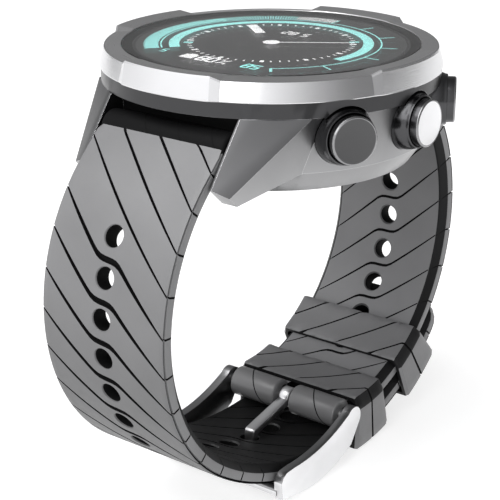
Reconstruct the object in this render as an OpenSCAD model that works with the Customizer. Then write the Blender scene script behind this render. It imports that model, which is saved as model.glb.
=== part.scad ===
// Wrist dive computer: round steel case with three pushers, buckled silicone strap.
// X points to 3 o'clock, Y to 12 o'clock, Z out of the display.
// The origin is the centre of the sensor window's face, which seats on the wrist.

/* [Case] */
// Outer diameter of the bezel at its foot
bezel_d = 50; // [46:0.5:60]
// Height from the wrist face to the glass
case_h = 16.8; // [15.6:0.2:20.2]
// Height of the bezel from its foot to the glass
bezel_h = 2.9; // [2.6:0.1:3.6]
// Width of the bezel ring, from its foot to the lens
bezel_w = 3.6; // [3.2:0.1:4.4]
// How far the bezel's wall leans in from foot to top
bezel_lean = 0.6; // [0.2:0.1:1]
// How far the four raised segments stand above the glass
bezel_rise = 0.4; // [0.1:0.1:0.8]
// How far the four low segments fall away from the glass
bezel_fall = 0.2; // [0.1:0.1:0.5]
// Half the angle of a raised bezel segment
bezel_seg = 19; // [12:1:24]
// Height of the dark flange under the bezel
flange_h = 2.1; // [1.6:0.1:2.6]
// How far the flange stands in from the bezel's foot
flange_in = 0.5; // [0.3:0.1:0.8]
// Height of the side wall's lower edge
foot_z = 3.9; // [3.2:0.1:4.6]
// How far the lower edge stands in from the bezel's foot
foot_in = 2.2; // [1.8:0.1:3]
// Thickness of the case wall behind a strap end
case_wall = 1.3; // [1:0.1:2]

/* [Display] */
// Thickness of the lens
lens_t = 1.6; // [1.2:0.1:2]
// Thickness of the lens gasket
gasket_t = 0.2; // [0.1:0.05:0.4]
// Thickness of the display module
display_t = 2.8; // [2.2:0.1:3]
// Thickness of the main board
board_t = 1; // [0.6:0.1:1.4]

/* [Back] */
// Thickness of the case back
back_t = 2; // [1.6:0.1:2.4]
// Step from the wrist face up to the case back's rim
back_step = 0.6; // [0.4:0.1:1]
// Diameter of the sensor window
window_d = 14; // [10:0.5:16]
// Diameter of a case-back screw's head
screw_head_d = 2.2; // [1.8:0.1:2.6]
// Diameter of a case-back screw's shank
screw_d = 1.1; // [0.9:0.1:1.4]

/* [Pushers] */
// Angle between neighbouring pushers
pusher_angle = 29.5; // [26:0.5:34]
// Diameter of a pusher's head
pusher_d = 6.6; // [5.6:0.1:7.4]
// How far a pusher's face stands out past the bezel
pusher_out = 1.6; // [1.2:0.1:3]
// Height of the pushers' axes
pusher_z = 8.9; // [8.4:0.1:9.4]
// Pusher travel
pusher_travel = 0.9; // [0.5:0.1:1.2]
// Thickness of a collar's rim round the pusher's head
collar_rim = 0.35; // [0.3:0.05:0.6]
// How much a collar flares towards the case
collar_flare = 0.5; // [0.2:0.1:0.7]
// Diameter of a pusher's stem
stem_d = 2; // [1.6:0.1:2.4]

/* [Lugs] */
// Gap between two lugs
lug_gap = 22; // [18:0.5:26.5]
// How far the strap bars' axes stand in from the bezel's foot
bar_in = 2.4; // [2:0.1:3]
// Height of the strap bars' axes
bar_z = 7.5; // [7:0.1:8]
// Diameter of a strap bar's tube
bar_d = 1.8; // [1.5:0.1:2]
// Diameter of a strap bar's tip
tip_d = 0.8; // [0.6:0.1:1]
// How far a tip reaches into its lug
tip_reach = 1.1; // [0.8:0.1:1.4]

/* [Strap] */
// Thickness of the strap
strap_t = 2.8; // [2.3:0.1:3.4]
// Height of the strap's edge, from its outer face to the bevel
strap_edge = 1.7; // [1.2:0.1:2]
// Width of the bevel along the strap's inner face
strap_bevel = 1; // [0.5:0.1:1.4]
// Gap between a strap end and each lug
strap_clear = 0.3; // [0.2:0.05:0.5]
// Outer radius of the buckle-side bend
bend_a = 28; // [23:0.5:34]
// Outer radius of the hole-side bend
bend_b = 28.7; // [25:0.1:34]
// Half the distance between the two bends' centres
bend_half = 9; // [7:0.5:11]
// How far the bends' centres lie below the strap bars, past the larger bend's outer radius
bend_drop = -5.1; // [-8:0.1:-3]
// Gap between the two straps where they lap
lap_gap = 0.7; // [0.3:0.1:1]
// Angle on the buckle-side bend where the hole side's flatter bottom starts
bottom_start = 291.4; // [286:0.2:296]
// Angle of the free end on the buckle side
free_end = -34; // [-44:1:-30]
// Diameter of the strap holes
hole_d = 3.3; // [2.8:0.1:3.6]
// Distance between holes along the hole side
hole_pitch = 5.7; // [5.5:0.05:5.9]
// Angle of the hole side's first hole
first_hole = 152.6; // [150:0.2:156]
// Angle between holes on the buckle side
vent_step = 13.5; // [12:0.5:15]
// Angle of the buckle side's first hole
first_vent = 5.8; // [2:0.2:10]

/* [Buckle] */
// Angle of the buckle bar on the buckle-side bend
buckle_angle = -98.6; // [-102:0.2:-96]
// Diameter of the buckle bar
pin_d = 1.5; // [1.2:0.1:1.8]
// Diameter of the two knuckles round the buckle bar
knuckle_d = 4.8; // [4.2:0.1:5.2]
// Width of the slot between the knuckles
slot_w = 3; // [2.6:0.1:3.6]
// Width of the tongue
tongue_w = 1.8; // [1.4:0.1:2.2]
// Thickness of the tongue
tongue_t = 1.2; // [0.9:0.1:1.4]
// How far the tongue's tip leans back to the bar, so that it can swing out of its hole
tip_lean = 0.7; // [0.4:0.1:0.9]
// How far the tongue's tip stands out past the strap
tip_out = 0.1; // [0.1:0.1:0.5]
// Thickness of a buckle rail
rail_t = 1.4; // [1:0.1:1.8]
// Gap between the strap's edge and a rail
rail_gap = 0.5; // [0.3:0.1:0.8]
// Length of the buckle from its bar to its front end
rail_len = 19.2; // [18:0.2:21]
// Radius of the buckle's cross bar
cross_r = 0.9; // [0.7:0.1:1.1]

/* [Keepers] */
// Wall of a keeper
keeper_wall = 0.9; // [0.7:0.1:1.3]
// Angle that a keeper covers
keeper_span = 17; // [10:1:18]
// Angle of the middle of the upper keeper
keeper_upper_at = -56.7; // [-58:0.1:-50]
// Angle of the middle of the lower keeper
keeper_lower_at = -84.6; // [-85:0.1:-82]
// Room round the straps inside a keeper
keeper_clear = 0.1; // [0.05:0.05:0.2]

/* [Hidden] */
SIDES = [1, 2, 3];
CORNERS = [1, 2, 3, 4];
$fn = 96;

run_clear = 0.05;           // radial clearance of pins, stems and shafts
seat_clear = 0.03;          // clearance round a seated part
cut = 1;                    // how far cutting shapes run past what they cut
splice = 1;                 // angle by which a spliced stretch of strap runs into its neighbours
splice_in = 0.02;           // how far a spliced stretch stands in from its neighbours

bezel_r = bezel_d / 2;
z_bezel = case_h - bezel_h;
z_flange = z_bezel - flange_h;
flange_r = bezel_r - flange_in;
foot_r = bezel_r - foot_in;
shoulder_r = foot_r + 1;
belly_r = foot_r - 2.1;
belly_z = 0.9;
lens_r = bezel_r - bezel_w;

bar_y = bezel_r - bar_in;
root_r = 2.5;               // radius of the strap end round its bar
root_gap = 0.3;             // gap between a strap end and the case
flat_y = bar_y - root_r - root_gap;
cavity_r = flat_y - case_wall;
upper_cavity_r = lens_r - 1;
display_r = upper_cavity_r - 0.9;
display_z = case_h - lens_t - 0.1 - display_t;
ledge_r = cavity_r - 3.2;
back_r = cavity_r - 0.4;
back_top = back_step + back_t;
ledge_top = back_top + 1.8;
screw_ring = (ledge_r + back_r) / 2 + 0.1;
frame_top = display_z - 0.8 - board_t;
cell_corner = 41;           // angle of the battery's corner seen from the middle
cell_x = (ledge_r - 0.2) * cos(cell_corner);
cell_y = (ledge_r - 0.2) * sin(cell_corner);
cell_h = 4.6;
motor_r = 2.1;

collar_r = pusher_d / 2 + collar_rim;
collar_base_r = collar_r + collar_flare;
face_u = bezel_r + pusher_out;
collar_u = face_u - 1.2;
head_t = 1.9;
well_u = face_u - head_t - pusher_travel - 0.1;
collar_base_u = foot_r - 1.8;
clip_u = cavity_r - 0.7;

strap_w = lug_gap - 2 * strap_clear;
bend_z = bar_z - max(bend_a, bend_b) - bend_drop;
centre_a = [bend_half, bend_z];
centre_b = [-bend_half, bend_z];
bar_depth = 2.2;            // depth of a bar's axis under the strap's outer face
lap_r = bend_a + lap_gap + strap_t;
// The bottom bend touches both other bends from outside, which sets its radius.
lap_more = lap_r - bend_b;
bottom_k = (4 * bend_half * bend_half - lap_more * lap_more)
         / (4 * bend_half * cos(bottom_start) + 2 * lap_more);
bottom_r = lap_r + bottom_k;
centre_c = [centre_a[0] - bottom_k * cos(bottom_start), bend_z - bottom_k * sin(bottom_start)];
bottom_in = 360 + atan2(centre_b[1] - centre_c[1], centre_b[0] - centre_c[0]);

hinge = polar(centre_a, bend_a - strap_t / 2, buckle_angle);
rail_x = strap_w / 2 + rail_gap;
pin_reach = rail_t - 0.4;
// Strap hole that the tongue enters, counted along the bottom bend.
holes_b = floor((bottom_in - first_hole) / arc_angle(hole_pitch, bend_b));
first_c = bottom_in + arc_angle(hole_pitch, bottom_r)
        - (bottom_in - first_hole - holes_b * arc_angle(hole_pitch, bend_b)) * bend_b / bottom_r;
step_c = arc_angle(hole_pitch, bottom_r);
tongue_hole = first_c + 3 * step_c;
tongue_bend = polar(centre_c, bottom_r - strap_t - 0.9, tongue_hole + arc_angle(tip_lean / 2, bottom_r));
tongue_tip = polar(centre_c, bottom_r + tip_out, tongue_hole + arc_angle(tip_lean, bottom_r));
// The cross bar lies across the strap's outer face, at the rails' front end.
cross_len = rail_len - 0.26;
cross_ring = bottom_r + 0.1 + cross_r;
hinge_off = hinge - centre_c;
cross_at = polar(centre_c, cross_ring, atan2(hinge_off[1], hinge_off[0])
         - acos((cross_ring * cross_ring + hinge_off * hinge_off - cross_len * cross_len)
                / (2 * cross_ring * norm(hinge_off))));
// Turn of the rails from the slope that their outline is drawn at
rail_tilt = atan2(cross_at[1] - hinge[1], cross_at[0] - hinge[0]) + 165.85;
keeper_in_r = bend_a - strap_t - keeper_clear;
keeper_lap_r = farthest_lap() + keeper_clear;

// Point at a radius and an angle round a centre in the YZ plane
function polar(c, r, a) = [c[0] + r * cos(a), c[1] + r * sin(a)];
// Angle in degrees that a length takes up on a circle
function arc_angle(len, r) = len / r * 180 / PI;
// Points along a circular arc
function arc_pts(c, r, a0, a1, n = 12) = [for (i = [0 : n]) polar(c, r, a0 + (a1 - a0) * i / n)];
// Distance from the buckle-side centre to the lapped strap's outer face, at an angle
function lap_at(a) =
    let (d = centre_a - centre_c, b = d[0] * cos(a) + d[1] * sin(a))
    -b + sqrt(b * b - d * d + bottom_r * bottom_r);
function farthest_lap() = lap_at(keeper_lower_at - keeper_span / 2);

// Outline of a strap across its width, with its outer face at a radius, less an inset all round
module strap_section(r_out, inset = 0) {
    w = strap_w / 2 - inset;
    top = r_out - inset;
    low = r_out - strap_t + inset;
    polygon([[top, -w], [top, w], [r_out - strap_edge, w], [low, w - strap_bevel],
             [low, -w + strap_bevel], [r_out - strap_edge, -w]]);
}

// Turns so that local X is radial, local Y follows the bend and local Z lies along X
module on_bend(c, a) {
    translate([0, c[0], c[1]]) rotate([0, 90, 0]) rotate([0, 0, a + 90]) children();
}

// Sweeps an outline round a bend's centre between two angles
module bend(c, a0, a1) {
    on_bend(c, a0) rotate_extrude(angle = a1 - a0, $fn = 180) children();
}

// Extrudes an outline in the YZ plane between two X positions
module plate(x0, x1) {
    translate([x0, 0, 0]) rotate([90, 0, 90]) linear_extrude(x1 - x0) children();
}

// Cylinder along X
module rod(at, r, x0, x1) {
    translate([x0, at[0], at[1]]) rotate([0, 90, 0]) cylinder(r = r, h = x1 - x0);
}

// Round hole through a strap at an angle on a bend
module strap_hole(c, r_out, a, d = hole_d) {
    on_bend(c, a) translate([r_out - strap_t - cut, 0, 0]) rotate([0, 90, 0])
        cylinder(d = d, h = strap_t + 2 * cut);
}

// Strap end at a lug, in the form of the 6 o'clock side
module strap_root(c, r_out) {
    to_bar = [-bar_y - c[0], bar_z - c[1]];
    s = r_out - bar_depth;
    run = sqrt(to_bar * to_bar - s * s);
    start = atan2(to_bar[1], to_bar[0]) + atan2(run, s);
    on_bend(c, start) translate([0, splice / 2, 0]) rotate([90, 0, 0])
        linear_extrude(run + splice / 2) strap_section(r_out, splice_in);
    rod([-bar_y, bar_z], root_r, -strap_w / 2, strap_w / 2);
}

// Angle where a bend starts below its strap root
function root_angle(c, r_out) =
    let (to_bar = [-bar_y - c[0], bar_z - c[1]], s = r_out - bar_depth)
    atan2(to_bar[1], to_bar[0]) + atan2(sqrt(to_bar * to_bar - s * s), s);

// Places a pusher part: local Z runs outwards along the pusher's axis
module on_pusher(i) {
    translate([0, 0, pusher_z]) rotate([0, 0, (i - 2) * pusher_angle]) rotate([0, 90, 0]) children();
}

// Half space beyond a plane given by its normal's two angles and its distance
module beyond(azimuth, elevation, dist) {
    rotate([0, 0, azimuth]) rotate([0, -elevation, 0]) translate([dist, -50, -50]) cube(100);
}

// One lug at 6 o'clock on the 3 o'clock side: a wing cut by two facets
module lug() {
    tip_y = bar_y + 5.6;
    difference() {
        plate(lug_gap / 2, foot_r)
            polygon([[-bar_y + 0.5, z_flange], [-tip_y, bar_z - 3.7], [-tip_y + 2.6, bar_z - 6.1],
                     [-bar_y + 6.2, foot_z - 0.2], [-bar_y + 9, foot_z], [-bar_y + 9, z_flange]]);
        beyond(-51.8, 30.9, bezel_r + 1.94);
        beyond(-13.8, -14.8, bezel_r - 6.82);
    }
}

module case_body() {
    color([0.45, 0.45, 0.46]) difference() {
        union() {
            translate([0, 0, z_flange]) cylinder(r = flange_r, h = flange_h);
            translate([0, 0, foot_z])
                cylinder(r1 = foot_r, r2 = shoulder_r, h = z_flange - foot_z);
            translate([0, 0, belly_z]) cylinder(r1 = belly_r, r2 = foot_r, h = foot_z - belly_z);
            for (mx = [0, 1], my = [0, 1])
                mirror([mx, 0, 0]) mirror([0, my, 0]) intersection() {
                    lug();
                    translate([0, 0, -cut]) cylinder(r = bezel_r * 1.4, h = case_h);
                }
        }
        for (my = [0, 1]) mirror([0, my, 0]) {
            translate([-lug_gap / 2, -bezel_r * 2, -cut])
                cube([lug_gap, bezel_r * 2 - flat_y, z_flange + cut]);
            rod([-bar_y, bar_z], tip_d / 2 + run_clear, -lug_gap / 2 - tip_reach - 0.2,
                lug_gap / 2 + tip_reach + 0.2);
        }
        translate([0, 0, ledge_top]) cylinder(r = cavity_r, h = case_h);
        cylinder(r = ledge_r, h = case_h);
        translate([0, 0, -cut]) cylinder(r = back_r + seat_clear, h = back_top + cut);
        translate([0, 0, display_z]) cylinder(r = upper_cavity_r, h = case_h);
        for (i = CORNERS) rotate([0, 0, 45 + 90 * i]) translate([screw_ring, 0, back_top - cut])
            cylinder(d = screw_d + 2 * run_clear, h = cut + 1.6);
        for (i = SIDES) on_pusher(i) {
            cylinder(r = stem_d / 2 + run_clear, h = bezel_d);
            translate([0, 0, collar_base_u])
                cylinder(r = collar_base_r + seat_clear, h = bezel_d);
        }
    }
}

module bezel() {
    ledge_z = case_h - lens_t - gasket_t;
    top_r = bezel_r - bezel_lean;
    foot_h = 1;             // height over the bezel's foot where a raised segment starts
    raised_r = lens_r + 0.6;
    color([0.8, 0.8, 0.81]) union() {
        rotate_extrude() polygon([[display_r + 0.2, z_bezel], [bezel_r, z_bezel],
            [top_r, case_h - bezel_fall], [lens_r + seat_clear, case_h],
            [lens_r + seat_clear, ledge_z], [display_r + 0.2, ledge_z]]);
        for (i = [0 : 3]) rotate([0, 0, 90 * i - bezel_seg])
            rotate_extrude(angle = 2 * bezel_seg) polygon([[raised_r, z_bezel + foot_h],
                [bezel_r - bezel_lean * foot_h / bezel_h, z_bezel + foot_h],
                [top_r, case_h + bezel_rise], [raised_r, case_h + bezel_rise / 3]]);
    }
}

module lens() {
    color([0.1, 0.1, 0.12]) translate([0, 0, case_h - lens_t]) cylinder(r = lens_r, h = lens_t);
}

module lens_gasket() {
    color([0.08, 0.08, 0.08]) translate([0, 0, case_h - lens_t - gasket_t]) difference() {
        cylinder(r = lens_r, h = gasket_t);
        translate([0, 0, -cut]) cylinder(r = display_r + 0.4, h = gasket_t + 2 * cut);
    }
}

module display_module() {
    color([0.2, 0.2, 0.2]) translate([0, 0, display_z]) cylinder(r = display_r, h = display_t);
}

module main_board() {
    color([0.05, 0.25, 0.15]) translate([0, 0, frame_top])
        cylinder(r = cavity_r - 0.5, h = board_t);
}

module inner_frame() {
    color([0.15, 0.15, 0.16]) difference() {
        translate([0, 0, ledge_top]) cylinder(r = cavity_r - 0.1, h = frame_top - ledge_top);
        cylinder(r = ledge_r, h = case_h);
        for (i = SIDES) on_pusher(i) cylinder(r = stem_d / 2 + 1.2, h = bezel_d);
    }
}

module battery() {
    color([0.75, 0.75, 0.78]) translate([-cell_x, -cell_y, back_top + 0.3])
        cube([2 * cell_x, 2 * cell_y, cell_h]);
}

module vibration_motor() {
    color([0.7, 0.7, 0.7]) translate([0, -cell_y - motor_r - 0.3, back_top])
        cylinder(r = motor_r, h = 2.4);
}

module case_back() {
    color([0.25, 0.25, 0.27]) difference() {
        union() {
            translate([0, 0, back_step]) cylinder(r = back_r, h = back_t);
            translate([0, 0, back_step - 0.4]) cylinder(r = window_d / 2 + 3, h = 1);
        }
        translate([0, 0, -cut]) cylinder(r = window_d / 2 + seat_clear, h = cut + 1.8);
        for (i = CORNERS) back_screw(i, screw_d / 2 + 0.1, screw_head_d / 2 + 0.1, cut);
        for (i = CORNERS) charge_pad(i, 0.8 + seat_clear, cut);
        translate([0, sensor_y(), -cut]) cylinder(r = 2.4 + seat_clear, h = cut + 2);
        translate([0, 0, back_top - 0.4]) difference() {
            cylinder(r = ledge_r + 0.65, h = cut);
            translate([0, 0, -cut]) cylinder(r = ledge_r + 0.08, h = 3 * cut);
        }
    }
}

function sensor_y() = window_d / 2 + 3 + 2.4 + 0.6;

// Case-back screw; sink is how far its head runs out of the case back
module back_screw(i, shank_r, head_r, sink = 0) {
    rotate([0, 0, 45 + 90 * i]) translate([screw_ring, 0, back_step]) {
        translate([0, 0, -sink]) cylinder(r = head_r, h = 0.8 + sink);
        cylinder(r = shank_r, h = back_t + 1.4);
    }
}

module back_gasket() {
    color([0.1, 0.1, 0.1]) translate([0, 0, back_top - 0.4]) difference() {
        cylinder(r = ledge_r + 0.62, h = 0.4);
        translate([0, 0, -cut]) cylinder(r = ledge_r + 0.12, h = 3 * cut);
    }
}

module sensor_window() {
    color([0.05, 0.05, 0.06]) cylinder(d = window_d, h = 1.8);
}

module pressure_sensor() {
    color([0.3, 0.3, 0.32]) translate([0, sensor_y(), 0.7]) difference() {
        cylinder(r = 2.4, h = 1.3);
        for (a = [0 : 120 : 240]) rotate([0, 0, a]) translate([1.2, 0, -cut])
            cylinder(r = 0.4, h = cut + 0.5);
    }
}

// Charging pad; sink is how far it runs out of the case back
module charge_pad(i, r = 0.8, sink = 0) {
    translate([(i - 2.5) * 2.6, -sensor_y(), 0.5 - sink]) cylinder(r = r, h = 1.6 + sink);
}

module pusher(i) {
    color([0.3, 0.3, 0.3]) on_pusher(i) difference() {
        union() {
            translate([0, 0, face_u - head_t]) cylinder(d = pusher_d, h = head_t);
            translate([0, 0, clip_u - 0.8]) cylinder(d = stem_d, h = face_u - clip_u);
        }
        translate([0, 0, clip_u]) difference() {
            cylinder(d = stem_d + cut, h = 0.32);
            translate([0, 0, -cut]) cylinder(d = stem_d - 0.6, h = 3 * cut);
        }
    }
}

module pusher_clip(i) {
    color([0.7, 0.7, 0.7]) on_pusher(i) translate([0, 0, clip_u + 0.01]) difference() {
        cylinder(d = stem_d + 1.1, h = 0.3);
        translate([0, 0, -cut]) cylinder(d = stem_d - 0.56, h = 3 * cut);
        translate([-0.65, 0, -cut]) cube([1.3, stem_d * 2, 3 * cut]);
    }
}

module pusher_seal(i) {
    color([0.05, 0.05, 0.05]) on_pusher(i) translate([0, 0, collar_base_u + 1.4])
        rotate_extrude() translate([stem_d / 2 + 0.36, 0]) circle(r = 0.33, $fn = 32);
}

module pusher_collar(i) {
    color([0.15, 0.15, 0.16]) on_pusher(i) difference() {
        translate([0, 0, collar_base_u])
            cylinder(r1 = collar_base_r, r2 = collar_r, h = collar_u - collar_base_u);
        cylinder(r = stem_d / 2 + run_clear, h = bezel_d);
        translate([0, 0, collar_base_u + 1]) cylinder(r = stem_d / 2 + 0.72, h = bezel_d);
        translate([0, 0, well_u]) cylinder(r = pusher_d / 2 + run_clear, h = bezel_d);
    }
}

// Tube of a strap bar; side is -1 for 6 o'clock and 1 for 12 o'clock
module strap_bar(side) {
    half = strap_w / 2 - 0.1;
    at = [side * bar_y, bar_z];
    color([0.7, 0.7, 0.72]) difference() {
        rod(at, bar_d / 2, -half, half);
        rod(at, tip_d / 2 + 0.15 + run_clear, -half - cut, -half + 4);
        rod(at, tip_d / 2 + 0.15 + run_clear, half - 4, half + cut);
    }
}

module bar_tip(side, end) {
    half = strap_w / 2 - 0.1;
    at = [side * bar_y, bar_z];
    color([0.8, 0.8, 0.82]) mirror([end < 0 ? 1 : 0, 0, 0]) {
        rod(at, tip_d / 2 + 0.15, half - 2.2, lug_gap / 2 - 0.1);
        rod(at, tip_d / 2, half - 2.2, lug_gap / 2 + tip_reach);
    }
}

module strap_buckle_side() {
    color([0.42, 0.42, 0.44]) difference() {
        union() {
            mirror([0, 1, 0]) strap_root(centre_b, bend_a);
            bend(centre_a, buckle_angle, 180 - root_angle(centre_b, bend_a))
                strap_section(bend_a);
            rod(hinge, knuckle_d / 2, -strap_w / 2 + 0.6, strap_w / 2 - 0.6);
        }
        rod([bar_y, bar_z], bar_d / 2 + run_clear, -strap_w, strap_w);
        rod(hinge, pin_d / 2 + run_clear, -strap_w, strap_w);
        rod(hinge, knuckle_d / 2 + 0.7, -slot_w / 2, slot_w / 2);
        for (i = [0 : 5]) strap_hole(centre_a, bend_a, first_vent - i * vent_step);
    }
}

module strap_hole_side() {
    color([0.55, 0.55, 0.56]) difference() {
        union() {
            strap_root(centre_b, bend_b);
            bend(centre_b, root_angle(centre_b, bend_b), bottom_in) strap_section(bend_b);
            bend(centre_c, bottom_in - splice, bottom_start + splice)
                strap_section(bottom_r, splice_in);
            bend(centre_a, bottom_start, 360 + free_end) strap_section(lap_r);
        }
        rod([-bar_y, bar_z], bar_d / 2 + run_clear, -strap_w, strap_w);
        for (i = [0 : holes_b])
            strap_hole(centre_b, bend_b, first_hole + i * arc_angle(hole_pitch, bend_b));
        for (i = [0 : 6]) strap_hole(centre_c, bottom_r, first_c + i * step_c);
    }
}

module buckle_bar() {
    color([0.75, 0.75, 0.77]) rod(hinge, pin_d / 2, -rail_x - pin_reach, rail_x + pin_reach);
}

// Side outline of a buckle rail: a round hub at the bar and a hollow top edge
module rail_outline() {
    nose = [-rail_len, -2.7];
    dip = [-rail_len * 0.708, 26.4];
    dip_r = 27.9;
    translate(hinge) rotate(rail_tilt) {
        circle(r = 1.9);
        polygon(concat(
            [[0, 1.9]],
            arc_pts(dip, dip_r, 293.9, 265, 10),
            [nose + [1.2, 1.25], nose + [0.4, 0.75], nose, nose + [0, -0.6], nose + [0.2, -2.9]],
            arc_pts([-rail_len * 0.55, 14.4], 21.2, 253, 298, 14),
            [[1.7, -0.9]]));
    }
}

module buckle_frame() {
    color([0.85, 0.85, 0.86]) difference() {
        union() {
            for (mx = [0, 1]) mirror([mx, 0, 0]) plate(rail_x, rail_x + rail_t) rail_outline();
            rod(cross_at, cross_r, -rail_x - 0.4, rail_x + 0.4);
        }
        rod(hinge, pin_d / 2 + run_clear, -rail_x - pin_reach - 0.1, rail_x + pin_reach + 0.1);
    }
}

module buckle_tongue() {
    arm = tongue_bend - hinge;
    arm_len = norm(arm);
    tip = tongue_tip - tongue_bend;
    tip_len = norm(tip);
    n_arm = [-arm[1], arm[0]] / arm_len * tongue_t / 2;
    n_tip = [-tip[1], tip[0]] / tip_len * tongue_t / 2;
    color([0.85, 0.85, 0.86]) difference() {
        union() {
            rod(hinge, pin_d / 2 + 0.85, -tongue_w / 2, tongue_w / 2);
            plate(-tongue_w / 2, tongue_w / 2)
                polygon([hinge + n_arm, hinge - n_arm, tongue_bend - n_arm, tongue_bend + n_arm]);
            plate(-tongue_w / 2, tongue_w / 2)
                polygon([tongue_bend + n_tip, tongue_bend - n_tip, tongue_tip - n_tip,
                         tongue_tip + n_tip]);
            rod(tongue_bend, tongue_t / 2, -tongue_w / 2, tongue_w / 2);
        }
        rod(hinge, pin_d / 2 + run_clear, -tongue_w, tongue_w);
    }
}

module keeper_outline(more) {
    w = strap_w / 2 + keeper_clear * 2 + more;
    polygon([[keeper_lap_r + more, -w], [keeper_lap_r + more, w],
             [keeper_in_r + strap_t - strap_edge, w], [keeper_in_r - more, w - strap_bevel],
             [keeper_in_r - more, -w + strap_bevel], [keeper_in_r + strap_t - strap_edge, -w]]);
}

module keeper(at) {
    color([0.4, 0.4, 0.42]) bend(centre_a, at - keeper_span / 2, at + keeper_span / 2)
        difference() {
            keeper_outline(keeper_wall);
            keeper_outline(0);
        }
}

case_body();
bezel();
lens();
lens_gasket();
display_module();
main_board();
inner_frame();
battery();
vibration_motor();
case_back();
back_gasket();
sensor_window();
pressure_sensor();
back_screw(1, screw_d / 2, screw_head_d / 2);  // back_screw_1
back_screw(2, screw_d / 2, screw_head_d / 2);  // back_screw_2
back_screw(3, screw_d / 2, screw_head_d / 2);  // back_screw_3
back_screw(4, screw_d / 2, screw_head_d / 2);  // back_screw_4
charge_pad(1);  // charge_pad_1
charge_pad(2);  // charge_pad_2
charge_pad(3);  // charge_pad_3
charge_pad(4);  // charge_pad_4
pusher(1);  // pusher_1
pusher(2);  // pusher_2
pusher(3);  // pusher_3
pusher_collar(1);  // pusher_collar_1
pusher_collar(2);  // pusher_collar_2
pusher_collar(3);  // pusher_collar_3
pusher_seal(1);  // pusher_seal_1
pusher_seal(2);  // pusher_seal_2
pusher_seal(3);  // pusher_seal_3
pusher_clip(1);  // pusher_clip_1
pusher_clip(2);  // pusher_clip_2
pusher_clip(3);  // pusher_clip_3
strap_bar(1);  // strap_bar_12
bar_tip(1, 1);  // bar_tip_12_right
bar_tip(1, -1);  // bar_tip_12_left
strap_bar(-1);  // strap_bar_6
bar_tip(-1, 1);  // bar_tip_6_right
bar_tip(-1, -1);  // bar_tip_6_left
strap_buckle_side();
strap_hole_side();
buckle_bar();
buckle_frame();
buckle_tongue();
keeper(keeper_upper_at);  // keeper_upper
keeper(keeper_lower_at);  // keeper_lower
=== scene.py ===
import math

import bmesh
import bpy
from mathutils import Matrix, Vector


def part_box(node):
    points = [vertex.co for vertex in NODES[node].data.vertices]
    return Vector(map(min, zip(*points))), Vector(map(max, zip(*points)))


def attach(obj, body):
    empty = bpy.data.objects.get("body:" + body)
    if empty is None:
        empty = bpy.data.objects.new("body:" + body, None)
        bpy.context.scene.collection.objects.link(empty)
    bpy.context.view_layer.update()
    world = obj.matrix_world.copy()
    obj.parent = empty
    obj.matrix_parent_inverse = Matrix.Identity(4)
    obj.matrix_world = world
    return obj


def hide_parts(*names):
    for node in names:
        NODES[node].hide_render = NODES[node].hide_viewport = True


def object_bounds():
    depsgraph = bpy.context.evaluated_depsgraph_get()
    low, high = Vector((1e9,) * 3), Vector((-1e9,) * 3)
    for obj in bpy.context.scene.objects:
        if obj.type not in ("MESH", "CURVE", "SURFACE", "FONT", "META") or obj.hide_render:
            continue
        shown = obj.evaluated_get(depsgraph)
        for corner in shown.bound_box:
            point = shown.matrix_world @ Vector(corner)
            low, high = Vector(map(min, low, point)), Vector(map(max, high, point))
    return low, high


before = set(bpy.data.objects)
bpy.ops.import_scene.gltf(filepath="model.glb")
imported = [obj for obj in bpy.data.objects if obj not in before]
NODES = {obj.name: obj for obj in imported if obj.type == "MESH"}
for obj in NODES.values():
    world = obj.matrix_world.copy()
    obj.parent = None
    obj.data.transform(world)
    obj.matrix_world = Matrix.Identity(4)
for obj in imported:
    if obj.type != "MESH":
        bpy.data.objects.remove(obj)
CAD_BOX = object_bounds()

# Shapes are given in millimetres and degrees, and turned into metres where a vertex is made.
MM = 0.001


def sind(a):
    return math.sin(math.radians(a))


def cosd(a):
    return math.cos(math.radians(a))


def middle(node, axis):
    """Middle of a CAD node's box along one axis."""
    low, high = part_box(node)
    return (low[axis] + high[axis]) / 2 / MM


# ---------------------------------------------------------------- sizes that the pieces share
LENS_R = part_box("lens")[1].x / MM
LENS_T = 1.6
CASE_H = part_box("lens")[1].z / MM
BEZEL_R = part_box("bezel")[1].x / MM
BEZEL_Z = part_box("bezel")[0].z / MM
STRAP_W = (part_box("strap_hole_side")[1].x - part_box("strap_hole_side")[0].x) / MM
HALF = STRAP_W / 2
STRAP_T = 2.8
BAR_Y = middle("strap_bar_12", 1)
BAR_Z = middle("strap_bar_12", 2)
ROOT_R = 2.46      # strap's root round its spring bar
TANGENT_R = 2.2    # circle round the spring bar that the strap's outer face runs on from
KNUCKLE_R = 2.4    # strap round the buckle bar
BAND_FROM = 0.55   # where the grooved band starts along the strap's outer face

# Bends of the closed strap. Each centre is (y, z), and an angle runs from +Y towards +Z.
BEND_HALF = 9.0    # half the distance between the centres of the two side bends
BEND_DROP = 23.6   # how far those centres lie below the strap bars
BEND_A = 28.0      # outer radius of the buckle side
BEND_B = 28.7      # outer radius of the hole side
LAP_GAP = 0.7
LAP_FROM = 291.4   # where the hole side's flatter bottom meets its lap over the buckle side
FREE_END = -34.0
HINGE_AT = -98.6
CENTRE_A = (BEND_HALF, BAR_Z - BEND_DROP)
CENTRE_B = (-BEND_HALF, BAR_Z - BEND_DROP)
LAP_R = BEND_A + LAP_GAP + STRAP_T
LAP_MORE = LAP_R - BEND_B
BOTTOM_MORE = ((4 * BEND_HALF * BEND_HALF - LAP_MORE * LAP_MORE)
               / (4 * BEND_HALF * cosd(LAP_FROM) + 2 * LAP_MORE))
BOTTOM_R = LAP_R + BOTTOM_MORE
CENTRE_C = (CENTRE_A[0] - BOTTOM_MORE * cosd(LAP_FROM), CENTRE_A[1] - BOTTOM_MORE * sind(LAP_FROM))
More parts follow.
